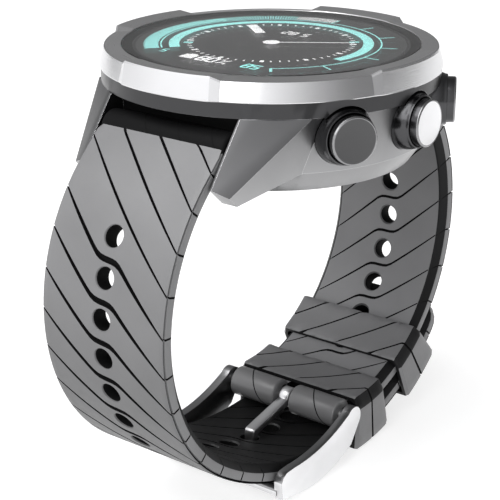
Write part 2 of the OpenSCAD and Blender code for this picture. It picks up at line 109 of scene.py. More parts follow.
BOTTOM_FROM = 360 + math.degrees(math.atan2(CENTRE_B[1] - CENTRE_C[1], CENTRE_B[0] - CENTRE_C[0]))
HINGE = (CENTRE_A[0] + (BEND_A - STRAP_T / 2) * cosd(HINGE_AT),
         CENTRE_A[1] + (BEND_A - STRAP_T / 2) * sind(HINGE_AT))
HOLE_PITCH = 5.7
VENT_PITCH = 13.5  # degrees between the round vents of the buckle side


# ---------------------------------------------------------------- materials
def shader_node(nt, kind, values=None, links=None):
    """Adds a shader node, sets constant inputs and links sockets into others."""
    made = nt.nodes.new("ShaderNode" + kind)
    for key, value in (values or {}).items():
        made.inputs[key].default_value = value
    for key, socket in (links or {}).items():
        nt.links.new(socket, made.inputs[key])
    return made


def noise(nt, vector, scale, detail=2):
    """Noise texture over a vector socket."""
    return shader_node(nt, "TexNoise", {"Scale": scale, "Detail": detail}, {"Vector": vector})


def new_material(name):
    """Empty Principled material: the material, its node tree and its shader."""
    m = bpy.data.materials.new(name)
    m.use_nodes = True
    return m, m.node_tree, m.node_tree.nodes["Principled BSDF"]


def material(name, base, metal=0.0, rough=0.4, spread=0.06, scale=900.0, bump=0.1,
             bump_scale=None, tint=0.08, cloud=90.0, stretch=(1, 1, 1), coat=0.0,
             emit=None, fade=None, spec=None):
    """Principled material whose tone, roughness and height come from layered noise.

    spread and tint are how far roughness and tone vary, scale and cloud the sizes of the fine
    and the broad noise. fade is (z, tone, z, tone): painted light and shade that scales the tone
    with height. emit is (red, green, blue, strength).
    """
    m, nt, shader = new_material(name)
    m.diffuse_color = (*base, 1)
    shader.inputs["Metallic"].default_value = metal
    if coat:
        shader.inputs["Coat Weight"].default_value = coat
        shader.inputs["Coat Roughness"].default_value = 0.12
    if spec is not None:
        shader.inputs["Specular IOR Level"].default_value = spec
    if emit:
        shader.inputs["Emission Color"].default_value = (*emit[:3], 1)
        shader.inputs["Emission Strength"].default_value = emit[3]
    place_on = shader_node(nt, "TexCoord").outputs["Object"]
    stretched = shader_node(nt, "Mapping", {"Scale": stretch}, {"Vector": place_on})
    fine = noise(nt, stretched.outputs["Vector"], scale, 4)
    broad = noise(nt, place_on, cloud, 3)
    ramp = shader_node(nt, "ValToRGB", links={"Fac": broad.outputs["Fac"]})
    low, high = ramp.color_ramp.elements
    low.position, high.position = 0.3, 0.7
    low.color = (*(c * (1 - tint) for c in base), 1)
    high.color = (*(min(1, c * (1 + tint)) for c in base), 1)
    tone = ramp.outputs["Color"]
    # Painted light and shade: the tone is scaled from one height to another
    if fade:
        apart = shader_node(nt, "SeparateXYZ", links={"Vector": place_on})
        dim = shader_node(nt, "MapRange", {"From Min": fade[0] * MM, "From Max": fade[2] * MM,
                                           "To Min": fade[1], "To Max": fade[3]},
                          {"Value": apart.outputs["Z"]})
        painted_light_tone = shader_node(nt, "VectorMath", links={0: tone})
        painted_light_tone.operation = "SCALE"
        nt.links.new(dim.outputs["Result"], painted_light_tone.inputs["Scale"])
        tone = painted_light_tone.outputs["Vector"]
    nt.links.new(tone, shader.inputs["Base Color"])
    worn = shader_node(nt, "MapRange", {"To Min": max(0.02, rough - spread),
                                        "To Max": rough + spread},
                       {"Value": fine.outputs["Fac"]})
    worn.name = "roughness"
    nt.links.new(worn.outputs["Result"], shader.inputs["Roughness"])
    height = noise(nt, place_on, bump_scale) if bump_scale else fine
    raised = shader_node(nt, "Bump", {"Strength": bump, "Distance": 0.00004},
                         {"Height": height.outputs["Fac"]})
    raised.name = "height"
    nt.links.new(raised.outputs["Normal"], shader.inputs["Normal"])
    return m


def turned(name, base, rough, strength):
    """Turned metal: fine rings that run round the Z axis, over a soft tone."""
    m = material(name, base, metal=1.0, rough=rough, tint=0.05)
    nt = m.node_tree
    place_on = shader_node(nt, "TexCoord").outputs["Object"]
    apart = shader_node(nt, "SeparateXYZ", links={"Vector": place_on})
    x, y, z = (apart.outputs[axis] for axis in "XYZ")
    flat = shader_node(nt, "CombineXYZ", links={"X": x, "Y": y})
    radius = shader_node(nt, "VectorMath", links={0: flat.outputs["Vector"]})
    radius.operation = "LENGTH"
    angle = shader_node(nt, "Math", links={0: y, 1: x})
    angle.operation = "ARCTAN2"
    slow = shader_node(nt, "Math", {1: 0.0006}, {0: angle.outputs["Value"]})
    slow.operation = "MULTIPLY"
    ring = shader_node(nt, "CombineXYZ", links={"X": radius.outputs["Value"], "Y": z,
                                                "Z": slow.outputs["Value"]})
    brush = noise(nt, ring.outputs["Vector"], 9000, 3).outputs["Fac"]
    nt.nodes["height"].inputs["Strength"].default_value = strength
    nt.links.new(brush, nt.nodes["height"].inputs["Height"])
    nt.links.new(brush, nt.nodes["roughness"].inputs["Value"])
    return m


def silicone(name, base, rough, spread=0.08, **more):
    """Strap rubber with a fine grain and a broad cloudy tone."""
    return material(name, base, rough=rough, spread=spread, bump=0.25, bump_scale=7000, tint=0.1,
                    cloud=70, **more)


def glass(name):
    """Clear glass with a trace of haze."""
    m, nt, shader = new_material(name)
    shader.inputs["Transmission Weight"].default_value = 1.0
    shader.inputs["IOR"].default_value = 1.45
    shader.inputs["Base Color"].default_value = (1, 1, 1, 1)
    haze = noise(nt, shader_node(nt, "TexCoord").outputs["Object"], 260)
    rough = shader_node(nt, "MapRange", {"To Min": 0.0, "To Max": 0.05},
                        {"Value": haze.outputs["Fac"]})
    nt.links.new(rough.outputs["Result"], shader.inputs["Roughness"])
    return m


STEEL = turned("bezel_steel", (0.74, 0.74, 0.75), 0.24, 0.10)
STEEL_TOP = turned("bezel_top_steel", (0.74, 0.74, 0.745), 0.3, 0.12)
FLANGE = turned("flange_satin", (0.06, 0.06, 0.062), 0.3, 0.12)
# case_steel gets painted light: brighter towards the bottom, darker towards the top
BODY = material("case_steel", (0.34, 0.34, 0.345), metal=1, rough=0.34, bump=0.06, scale=2200,
                stretch=(1, 1, 6), fade=(1, 1.05, 11.5, 0.55))
# Painted shade: a darker copy of the case steel on the lugs' upward facets
LUG_TOP_SHADE = material("lug_top_painted_shade", (0.12, 0.12, 0.123), metal=1, rough=0.4, bump=0.1, scale=2600,
                stretch=(1, 6, 1))
# Painted highlight: a brighter copy of the case steel on the bevelled edges
EDGE_HIGHLIGHT = material("case_edge_painted_highlight", (0.62, 0.62, 0.63), metal=1, rough=0.22, bump=0.03)
# Painted shade: near black in the case's recesses and the pushers' wells
RECESS_SHADE = material("recess_painted_shade", (0.008, 0.008, 0.0083), rough=0.5, bump=0.1, spec=0.08)
CHROME = material("collar_black_chrome", (0.075, 0.075, 0.078), metal=1, rough=0.2, spread=0.05,
                  bump=0.03)
BUTTON = material("pusher_satin", (0.065, 0.065, 0.067), rough=0.5, bump=0.1, scale=2600)
BUTTON_BRIGHT = material("pusher_bright", (0.82, 0.82, 0.83), metal=0.85, rough=0.34, bump=0.08,
                         scale=2600)
RIM = material("pusher_rim", (0.28, 0.28, 0.285), metal=1, rough=0.25, bump=0.04)
POLISH = material("buckle_steel", (0.72, 0.72, 0.73), metal=1, rough=0.3, spread=0.03, bump=0.02)
# Painted highlight and shade on the buckle's steel: brighter outer sides, darker upper faces,
# near-black bevels
RAIL_HIGHLIGHT = material("buckle_side", (0.88, 0.88, 0.89), metal=0.9, rough=0.36, bump=0.1, scale=2600)
RAIL_TOP_SHADE = material("buckle_top_painted_shade", (0.3, 0.3, 0.305), metal=1, rough=0.3, bump=0.08, scale=2600)
RAIL_LINE_SHADE = material("buckle_line_painted_shade", (0.03, 0.03, 0.031), metal=0.6, rough=0.4, bump=0.05)
PLAIN_STEEL = material("plain_steel", (0.6, 0.6, 0.61), metal=1, rough=0.3, bump=0.08)
# The strap's grey, with painted shade that darkens it towards the bottom
RUBBER = silicone("strap_silicone", (0.205, 0.205, 0.209), 0.42, fade=(-46, 0.2, 2, 1.0), spec=0.4)
RUBBER_SIDE = silicone("strap_side", (0.2, 0.2, 0.204), 0.42, spec=0.4)
RUBBER_LOOP = silicone("keeper_silicone", (0.18, 0.18, 0.184), 0.4, spec=0.5)
# Painted shade and light on the buckle side's inner face: darker grey, brighter towards the bottom
INNER_LIGHT_SHADE = silicone("strap_inner_painted_light_shade", (0.135, 0.135, 0.138), 0.4, 0.06, fade=(-46, 1.9, 4, 0.6),
                      spec=0.4)
# Painted shade: the hole side's inner face in near black
INNER_SHADE = silicone("strap_inner_painted_shade", (0.014, 0.014, 0.0145), 0.5, 0.06, spec=0.25)
# Painted shade: grooves, the edge seams, hole walls and the tongue's slot in near black
GROOVE_SHADE = material("strap_groove_painted_shade", (0.004, 0.004, 0.0042), rough=0.75, bump=0.1, spec=0.1)
# Painted shade: the straps' lower bevels and the keepers' insides and ends in near black
BEVEL_SHADE = material("strap_bevel", (0.01, 0.01, 0.0105), rough=0.45, bump=0.2, bump_scale=7000,
                 spec=0.15)
# Painted shade: the straps' roots in the case's recesses in near black
ROOT_SHADE = material("strap_root", (0.006, 0.006, 0.0063), rough=0.5, bump=0.2, bump_scale=7000,
                spec=0.06)
KNUCKLE = material("knuckle_satin", (0.17, 0.17, 0.173), rough=0.3, spread=0.02, bump=0.1,
                   bump_scale=7000, tint=0.03, cloud=300, spec=0.6)
BACK = material("back_composite", (0.05, 0.05, 0.052), rough=0.5, bump=0.3, bump_scale=5000)
BLACK = material("gasket_black", (0.02, 0.02, 0.02), rough=0.6, bump=0.2)
GLOSS = material("window_gloss", (0.012, 0.012, 0.014), rough=0.12, spread=0.05, bump=0.02,
                 coat=0.5)
GOLD = material("pad_gold", (0.85, 0.62, 0.25), metal=1, rough=0.25, bump=0.06)
BOARD = material("board_green", (0.02, 0.12, 0.06), rough=0.4, bump=0.2)
CELL = material("cell_foil", (0.5, 0.5, 0.52), metal=0.7, rough=0.45, bump=0.2)
DIAL = material("dial_face", (0.03, 0.03, 0.031), rough=0.7, bump=0.05,
                emit=(0.012, 0.012, 0.012, 1.0))
MASK = material("dial_mask", (0.006, 0.006, 0.0062), rough=0.7, bump=0.05, spec=0.1)
MARK = material("dial_white", (0.8, 0.8, 0.8), rough=0.6, bump=0.02, emit=(1, 1, 1, 1.15))
MINT = material("dial_mint", (0.3, 0.75, 0.72), rough=0.6, bump=0.02,
                emit=(0.36, 0.86, 0.82, 1.15))
MINT_DIM = material("dial_mint_dim", (0.2, 0.55, 0.53), rough=0.6, bump=0.02,
                    emit=(0.25, 0.6, 0.57, 0.9))
GLASS = glass("lens_glass")


# ---------------------------------------------------------------- mesh helpers
def add_object(name, me):
    ob = bpy.data.objects.new(name, me)
    bpy.context.scene.collection.objects.link(ob)
    return ob


def finish_mesh(bm, name, mats, angle=25, bevel=None):
    """Welds a mesh and makes its object. bevel is (offset, least angle, segments, slot)."""
    bmesh.ops.remove_doubles(bm, verts=bm.verts, dist=1e-6)
    bmesh.ops.dissolve_degenerate(bm, edges=bm.edges, dist=1e-7)
    bmesh.ops.recalc_face_normals(bm, faces=bm.faces)
    if bevel:
        offset, least, segments, slot = bevel
        sharp = [e for e in bm.edges if len(e.link_faces) == 2
                 and math.degrees(e.calc_face_angle(0)) > least]
        bmesh.ops.bevel(bm, geom=sharp, offset=offset * MM, segments=segments, affect="EDGES",
                        profile=0.5, clamp_overlap=True, material=slot)
    me = bpy.data.meshes.new(name)
    bm.to_mesh(me)
    bm.free()
    for f in me.polygons:
        f.use_smooth = True
    me.set_sharp_from_angle(angle=math.radians(angle))
    for m in mats:
        me.materials.append(m)
    return add_object(name, me)


def lathe(profile, turn=Matrix.Identity(4), segs=96, slots=None, bm=None):
    """Revolves (radius, height) points about local Z, then places them with the turn matrix."""
    bm = bm or bmesh.new()
    rings = []
    for r, z in profile:
        if r < 1e-6:
            rings.append([bm.verts.new(turn @ Vector((0, 0, z * MM)))])
        else:
            rings.append([bm.verts.new(turn @ Vector((r * MM * math.cos(2 * math.pi * i / segs),
                                                      r * MM * math.sin(2 * math.pi * i / segs),
                                                      z * MM))) for i in range(segs)])
    for n, (a, b) in enumerate(zip(rings, rings[1:])):
        for i in range(segs):
            j = (i + 1) % segs
            if len(a) == 1 and len(b) == 1:
                continue
            if len(a) == 1:
                f = bm.faces.new((a[0], b[i], b[j]))
            elif len(b) == 1:
                f = bm.faces.new((a[i], a[j], b[0]))
            else:
                f = bm.faces.new((a[i], a[j], b[j], b[i]))
            f.material_index = slots[n] if slots else 0
    return bm


def skin(bm, grid, on, loop):
    """Faces between rows of a swept outline. Rows that are on make the grooves' faces, painted dark
    as shade.

    loop holds (_, _, groove weight, _, slot) for each point of the outline.
    """
    n = len(loop)
    for i in range(len(grid) - 1):
        dark = on[i] + on[i + 1] > 0
        for j in range(n):
            k = (j + 1) % n
            quad = (grid[i][j], grid[i + 1][j], grid[i + 1][k], grid[i][k])
            if len({tuple(round(c, 7) for c in v.co) for v in quad}) < 3:
                continue
            f = bm.faces.new(quad)
            grooved = dark and min(loop[j][2], loop[k][2]) > 0.5
            f.material_index = 1 if grooved else loop[j][4]


def subtract(ob, cutter):
    """Cuts one closed mesh out of another and removes the cutter."""
    mod = ob.modifiers.new("cut", "BOOLEAN")
    mod.operation = "DIFFERENCE"
    mod.solver = "EXACT"
    mod.object = cutter
    bpy.context.view_layer.update()
    graph = bpy.context.evaluated_depsgraph_get()
    me = bpy.data.meshes.new_from_object(ob.evaluated_get(graph))
    ob.modifiers.clear()
    ob.data = me
    bpy.data.objects.remove(cutter)


def join(target, *others):
    bpy.ops.object.select_all(action="DESELECT")
    for o in (target, *others):
        o.select_set(True)
    bpy.context.view_layer.objects.active = target
    bpy.ops.object.join()
    return target


def put(ob, body, finish, *nodes):
    """Rides a piece on its body and hides the CAD nodes that it stands for; finish is not used."""
    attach(ob, body)
    if nodes:
        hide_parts(*nodes)


# ---------------------------------------------------------------- bezel
def bezel():
    """Steel ring with four raised and four low segments, joined by short ramps."""
    ramp = 3.2          # degrees that a ramp takes
    segment = 19.0      # half of what a raised segment spans
    step = 2.0
    ends = [90 * q + s * segment for q in range(4) for s in (-1, 1)]
    angles = {round((end + d) % 360, 4) for end in ends for d in (-ramp / 2, ramp / 2)}
    for i in range(180):
        a = i * step
        near = min(abs(((a - end + 180) % 360) - 180) for end in ends)
        if near > ramp / 2 + 0.7:
            angles.add(a)

    bm = bmesh.new()
    rings = []
    for a in sorted(angles):
        from_middle = abs(((a + 45) % 90) - 45)
        t = max(0.0, min(1.0, (segment + ramp / 2 - from_middle) / ramp))
        top = CASE_H - 0.2 + 0.6 * t
        inner = CASE_H - 0.02 + 0.12 * t
        outer_r = BEZEL_R - 0.6 - 0.4 * (1 - t)
        foot_r = BEZEL_R - 0.02 - 0.3 * (1 - t)
        seat_r = LENS_R + 0.05
        profile = [(seat_r, CASE_H - LENS_T), (seat_r, inner - 0.1), (LENS_R + 0.16, inner),
                   (outer_r - 0.32, top), (outer_r - 0.06, top - 0.05),
                   (outer_r + 0.03, top - 0.3), (foot_r, BEZEL_Z + 0.12),
                   (foot_r - 0.04, BEZEL_Z + 0.02), (foot_r - 0.12, BEZEL_Z), (seat_r, BEZEL_Z)]
        rings.append([bm.verts.new((r * MM * cosd(a), r * MM * sind(a), z * MM))
                      for r, z in profile])
    n = len(rings[0])
    for i, ring in enumerate(rings):
        following = rings[(i + 1) % len(rings)]
        for j in range(n):
            k = (j + 1) % n
            f = bm.faces.new((ring[j], following[j], following[k], ring[k]))
            f.material_index = 1 if j in (0, 1, 2) else 0
    put(finish_mesh(bm, "bezel_ring", [STEEL, STEEL_TOP], angle=7), "case", "bezel_steel", "bezel")


# ---------------------------------------------------------------- lens and dial
def lens():
    """Flat glass with small chamfers."""
    foot = CASE_H - LENS_T
    bm = lathe([(0, foot), (LENS_R - 0.05, foot), (LENS_R, foot + 0.05), (LENS_R, CASE_H - 0.14),
                (LENS_R - 0.14, CASE_H), (0, CASE_H)], segs=128)
    put(finish_mesh(bm, "lens_glass", [GLASS]), "case", "lens_glass", "lens")


def dial():
    """Lit display under the glass: a plate, a black border and thin raised marks."""
    z = CASE_H - 1.63
    plate_r = LENS_R - 0.12
    bm = lathe([(0, z - 0.05), (plate_r, z - 0.05), (plate_r, z - 0.065), (0, z - 0.065)],
               segs=128)
    put(finish_mesh(bm, "dial_plate", [DIAL]), "case", "display_black")

    border_in, border_out = 19.4, LENS_R - 0.14
    rim = [(border_in, z - 0.03), (border_out, z - 0.03), (border_out, z - 0.045),
           (border_in, z - 0.045), (border_in, z - 0.03)]
    put(finish_mesh(lathe(rim, segs=128), "dial_border", [MASK]), "case", "display_black")

    marks = {"white": bmesh.new(), "mint": bmesh.new(), "dim": bmesh.new()}
    mark_z = z + 0.01
    over = 0.012        # extra height of what lies over other marks

    def quad(kind, pts, h=0.0):
        bm = marks[kind]
        bm.faces.new([bm.verts.new((x * MM, y * MM, (mark_z + h) * MM)) for x, y in pts])

    def block(kind, x0, y0, x1, y1):
        quad(kind, [(x0, y0), (x1, y0), (x1, y1), (x0, y1)])

    def arc(kind, r0, r1, a0, a1, h=0.0):
        n = max(2, int(abs(a1 - a0) / 2))
        for i in range(n):
            p, q = a0 + (a1 - a0) * i / n, a0 + (a1 - a0) * (i + 1) / n
            quad(kind, [(r0 * cosd(p), r0 * sind(p)), (r1 * cosd(p), r1 * sind(p)),
                        (r1 * cosd(q), r1 * sind(q)), (r0 * cosd(q), r0 * sind(q))], h)

    def tick(kind, r0, r1, a, w):
        c, s = cosd(a), sind(a)
        quad(kind, [(r0 * c + w * s, r0 * s - w * c), (r1 * c + w * s, r1 * s - w * c),
                    (r1 * c - w * s, r1 * s + w * c), (r0 * c - w * s, r0 * s + w * c)])

    def bar(p, q, w, kind="white", h=over):
        along = Vector((q[0] - p[0], q[1] - p[1]))
        n = Vector((-along.y, along.x)).normalized() * w
        quad(kind, [(p[0] - n.x, p[1] - n.y), (q[0] - n.x, q[1] - n.y),
                    (q[0] + n.x, q[1] + n.y), (p[0] + n.x, p[1] + n.y)], h)

    # Minute track with heavier marks at the hours
    for i in range(60):
        a = 6 * i
        if i % 5:
            tick("white", 11.5, 12.15, a, 0.11)
        else:
            arc("white", 11.25, 12.2, a - 1.4, a + 1.4)
    # Outer gauge: a comb of ticks, a thin line and a solid band, all from the same angle
    gauge_from = 229
    for i in range(104):
        a = gauge_from - i * 1.33
        tick("mint" if a > 112 else "white", 16.2, 18.3, a, 0.1)
    arc("dim", 16.2, 18.1, gauge_from, 150, -0.004)
    arc("mint", 15.7, 15.92, gauge_from, -54)
    arc("mint", 13.2, 14.7, gauge_from, -14)
    for a in (91, 69, 46, 23, 0, -28):
        tick("mint", 15.8, 18.2, a, 0.12)
    tick("mint", 15.8, 17.6, -54, 0.2)
    for a in (217, 37):
        tick("mint", 11.2, 12.6, a, 0.3)

    # Hands
    bar((-4.9, 4.0), (-9.4, 7.8), 0.75)
    bar((0, 0), (9.8, 6.7), 0.13)
    hub = 1.25
    for p in range(0, 360, 15):
        q = p + 15
        quad("white", [(0, 0), (hub * cosd(p), hub * sind(p)), (hub * cosd(q), hub * sind(q))],
             over)

    # Seven-bar digits: bars are lettered a to g from the top, clockwise, with g in the middle
    bars = {"a": ((0, 2), (1, 2)), "b": ((1, 1), (1, 2)), "c": ((1, 0), (1, 1)),
            "d": ((0, 0), (1, 0)), "e": ((0, 0), (0, 1)), "f": ((0, 1), (0, 2)),
            "g": ((0, 1), (1, 1))}
    shape = {"0": "abcdef", "2": "abged", "5": "afgcd", "8": "abcdefg"}

    def digits(text, x, y, w, kind, pen):
        for ch in text:
            for key in shape[ch]:
                p, q = bars[key]
                bar((x + p[0] * w, y + p[1] * w), (x + q[0] * w, y + q[1] * w), pen, kind, 0.0)
            x += w * 1.55

    # Charge reading with its battery and percent signs, a date and two small readings
    block("white", -5.1, -14.7, -2.9, -12.7)
    block("white", -4.5, -12.7, -3.5, -12.3)
    digits("80", -2.2, -14.7, 1.1, "white", 0.2)
    bar((1.4, -14.7), (2.6, -12.5), 0.15)
    block("white", 1.2, -13.0, 1.7, -12.5)
    block("white", 2.3, -14.7, 2.8, -14.2)
    digits("85", 5.4, -14.4, 0.95, "mint", 0.17)
    digits("5", -9.4, -13.7, 0.75, "mint", 0.13)
    digits("28", -2.4, 5.7, 0.85, "white", 0.13)
    digits("5", 1.0, 5.7, 0.85, "white", 0.13)

    for kind, mat in (("white", MARK), ("mint", MINT), ("dim", MINT_DIM)):
        bm = marks[kind]
        bm.normal_update()
        for f in bm.faces:
            if f.normal.z < 0:
                f.normal_flip()
        bmesh.ops.remove_doubles(bm, verts=bm.verts, dist=2e-6)
        bmesh.ops.solidify(bm, geom=bm.faces[:], thickness=0.008 * MM)
        me = bpy.data.meshes.new("dial_marks_" + kind)
        bm.to_mesh(me)
        bm.free()
        me.materials.append(mat)
        put(add_object("dial_marks_" + kind, me), "case", "display_black")


# ---------------------------------------------------------------- pushers
def pushers():
    """Three pushers on the +X side: a head with its stem, and a flared collar round each."""
    axis_z = 8.9
    spread = 29.5       # degrees between neighbours
    face = 26.6         # distance of a head's face from the case's axis
    head_r, stem_r = 3.3, 1.0
    well_r, well_floor = 3.36, 23.62
    foot = 21.05
    neck_r = 3.66
    flare, flare_from, flare_len = 0.48, 22.0, 3.05
    for i in (1, 2, 3):
        turn = (Matrix.Translation((0, 0, axis_z * MM))
                @ Matrix.Rotation(math.radians((i - 2) * spread), 4, "Z")
                @ Matrix.Rotation(math.pi / 2, 4, "Y"))
        bm = lathe([(0, face - 0.03), (3.0, face - 0.03), (3.08, face), (3.13, face - 0.01),
                    (3.27, face - 0.14), (head_r, face - 0.24), (head_r, face - 1.9),
                    (0, face - 1.9)], turn, slots=[0, 1, 1, 1, 1, 3, 2])
        bm = lathe([(0, 17.2), (0.9, 17.2), (stem_r, 17.3), (stem_r, face - 1.8),
                    (0, face - 1.8)], turn, segs=32, bm=bm, slots=[2, 2, 2, 2])
        head = BUTTON_BRIGHT if i == 2 else BUTTON
        ob = finish_mesh(bm, "pusher_head_%d" % i, [head, RIM, PLAIN_STEEL, CHROME], angle=30)
        put(ob, "pusher_body_%d" % i, "pusher_bright_steel" if i == 2 else "pusher_dark_steel",
            "pusher_%d" % i)

        profile = [(1.1, foot), (4.1, foot), (4.14, foot + 0.1)]
        for n in range(13):
            t = n / 12
            profile.append((neck_r + flare * (1 - t ** 3), flare_from + flare_len * t))
        profile += [(neck_r, 25.2), (3.6, 25.37), (3.5, 25.4), (3.42, 25.36), (well_r, 25.2),
                    (well_r, well_floor), (1.1, well_floor), (1.1, foot)]
        # The well's faces (slot 1) are painted black as shade
        slots = [0] * (len(profile) - 5) + [1, 1, 1, 1]
        ob = finish_mesh(lathe(profile, turn, slots=slots), "collar_sleeve_%d" % i,
                         [CHROME, RECESS_SHADE], angle=30)
        put(ob, "case", "collar_dark_chrome", "pusher_collar_%d" % i)


# ---------------------------------------------------------------- straps
class Path:
    """Outer face of a strap in the YZ plane: a straight run, then arcs about given centres.

    side is +1 or -1 for the strap bar that it starts from, and arcs holds (centre, radius, end).
    """

    def __init__(self, side, centre, radius, arcs):
        bar = (side * BAR_Y - centre[0], BAR_Z - centre[1])
        reach = radius - TANGENT_R
        self.run = math.sqrt(bar[0] ** 2 + bar[1] ** 2 - reach * reach)
        tilt = math.degrees(math.atan2(self.run, reach))
        self.way = -side
        self.start = math.degrees(math.atan2(bar[1], bar[0])) + tilt * self.way
        self.centre = centre
        self.radius = radius
        self.arcs = []
        a, self.length = self.start, self.run
        for c, r, end in arcs:
            size = abs(math.radians(end - a)) * r
            self.arcs.append((self.length, self.length + size, c, r, a, end))
            a, self.length = end, self.length + size

    def at(self, s):
        """Point (y, z) and outward normal at a distance along the face."""
        if s <= self.run:
            n = (cosd(self.start), sind(self.start))
            t = (-n[1] * self.way, n[0] * self.way)
            y = self.centre[0] + self.radius * n[0] - t[0] * (self.run - s)
            z = self.centre[1] + self.radius * n[1] - t[1] * (self.run - s)
            return y, z, n
        for s0, s1, c, r, a0, a1 in self.arcs:
            if s <= s1 + 1e-6:
                a = a0 + (a1 - a0) * (s - s0) / (s1 - s0)
                n = (cosd(a), sind(a))
                return c[0] + r * n[0], c[1] + r * n[1], n
        return self.at(self.length)

    def s_of(self, angle):
        """Distance along the face at which its first arc reaches an angle."""
        s0, s1, _, _, a0, a1 = self.arcs[0]
        return s0 + (angle - a0) / (a1 - a0) * (s1 - s0)

    def place(self, x, s, depth):
        """Point in metres that lies so deep under the face."""
        y, z, n = self.at(s)
        return (x * MM, (y - n[0] * depth) * MM, (z - n[1] * depth) * MM)


def strap_outline():
    """Outline of a strap: (x, depth, groove weight, way a groove cuts, slot of the next face)."""
    w = HALF
    top_w, low_w = w - 0.3, w - 1.35
    top_n, low_n = 30, 24
    outer = [(-top_w + 2 * top_w * i / top_n, 0.02, 1.0, (0, 1), 0) for i in range(top_n + 1)]
    inner = [(low_w - 2 * low_w * i / low_n, STRAP_T, 1.0, (0, -1), 3) for i in range(low_n + 1)]
    # Slot 1, the seam along the top edge, and slots 2 and 3, the lower bevel and the inner face,
    # are painted shade
    right = [(w - 0.08, 0.1, 1.0, (-0.7, 0.7), 1), (w - 0.3, 0.22, 0.3, (-1, 0), 1),
             (w - 0.3, 0.36, 0.3, (-1, 0), 4), (w - 0.02, 0.44, 1.0, (-1, 0), 4),
             (w, 0.6, 1.0, (-1, 0), 4), (w, 1.5, 1.0, (-1, 0), 4), (w - 0.06, 1.7, 0.6, (-1, 0), 2),
             (w - 0.9, 2.7, 0.0, (-0.7, -0.7), 2), (w - 1.15, STRAP_T, 0.3, (0, -1), 3)]
    left = [(-x, d, g, (-s[0], s[1]), slot)
            for (x, d, g, s, _), slot in zip(reversed(right), [2, 2, 4, 4, 4, 1, 1, 1, 0])]
    return outer + right + inner + left


def corner_inset(from_end, radius):
    """How far a rounded corner pulls the edge in, at a distance from the strap's end."""
    if not radius or from_end >= radius:
        return 0.0
    return radius - math.sqrt(max(0.0, radius ** 2 - (radius - from_end) ** 2))


def strap(name, path, shear, grooves, s_from, s_to, inner_shade, corner_from=0, corner_to=0, taper=0,
          depth_out=0.5, depth_in=0.3):
    """Sweeps the outline along the path in rows that follow the slanted grooves.

    shear(x, straight) is how far a row leads at x, and grooves holds (distance, straight). The
    outer and the inner half of the outline are cut to a depth each.
    """
    mid_depth = 1.6     # where the outline's inner half starts
    width_in = 0.6      # width of a groove on the inner half, as a share of the outer
    fade = 0.3          # distance from the strap's ends within which grooves run out
    row_step = 1.1
    tip_thin = 0.72     # thickness of a tapered tip, as a share of the full one
    loop = strap_outline()
    far = max(abs(shear(x, k)) for x in (-HALF, HALF) for k in (0, 1))
    first, last = s_from - far - 1.0, s_to + far + 1.0
    knots = [q for q in sorted(grooves) if first < q[0] < last]

    def straight_at(t):
        if t <= knots[0][0]:
            return knots[0][1]
        for (a, at_a), (b, at_b) in zip(knots, knots[1:]):
            if a <= t <= b:
                return at_a + (at_b - at_a) * (t - a) / (b - a)
        return knots[-1][1]

    def groove_width(x, straight):
        return 0.15 + (0.28 - 0.16 * straight) * max(0.0, 1 - (x / HALF) ** 2)

    rows = []           # (distance, offset in groove widths, groove on or off, straight)
    marks = [first] + [k[0] for k in knots] + [last]
    for i, t in enumerate(marks):
        if 0 < i < len(marks) - 1:
            for w, on in ((-1, 0), (-0.62, 1), (0.62, 1), (1, 0)):
                rows.append((t, w, on, straight_at(t)))
        if i < len(marks) - 1:
            a, b = t, marks[i + 1]
            n = max(3, int((b - a) / row_step))
            for k in range(1, n):
                between = a + row_step / 2 + (b - a - row_step) * (k - 0.5) / (n - 1)
                rows.append((between, 0, 0, straight_at(between)))

    bm = bmesh.new()
    grid = []
    for t, w, on, straight in rows:
        line = []
        for x, d, weight, way, _ in loop:
            inside = d > mid_depth
            width = groove_width(x, straight) * (width_in if inside else 1.0)
            s = t + w * width + shear(x, straight)
            cut = 0.0
            if s_from < s < s_to:
                near = min(s - s_from, s_to - s)
                cut = on * weight * (depth_in if inside else depth_out) * min(1.0, near / fade)
            s = max(s_from, min(s_to, s))
            to_end = s_to - s
            half = HALF - corner_inset(s - s_from, corner_from) - corner_inset(to_end, corner_to)
            thin = 1.0
            if to_end < taper:
                round_off = math.sqrt(max(0.0, 1 - (1 - to_end / taper) ** 2))
                thin = tip_thin + (1 - tip_thin) * round_off
            depth = STRAP_T / 2 + (d - STRAP_T / 2) * thin
            line.append(bm.verts.new(path.place((x + way[0] * cut) * half / HALF, s,
                                                depth + way[1] * cut)))
        grid.append(line)
    skin(bm, grid, [row[2] for row in rows], loop)
    bmesh.ops.remove_doubles(bm, verts=bm.verts, dist=1.5e-6)
    bmesh.ops.dissolve_degenerate(bm, edges=bm.edges, dist=1e-6)
    loose = [v for v in bm.verts if not v.link_faces]
    bmesh.ops.delete(bm, geom=loose, context="VERTS")
    rim = [e for e in bm.edges if len(e.link_faces) == 1]
    caps = bmesh.ops.holes_fill(bm, edges=rim, sides=0)["faces"]
    for f in caps:
        f.material_index = 0
    bmesh.ops.triangulate(bm, faces=caps)
    # Slot 3 carries the inner face's painted shade
    return finish_mesh(bm, name, [RUBBER, GROOVE_SHADE, BEVEL_SHADE, inner_shade, RUBBER_SIDE], angle=28)


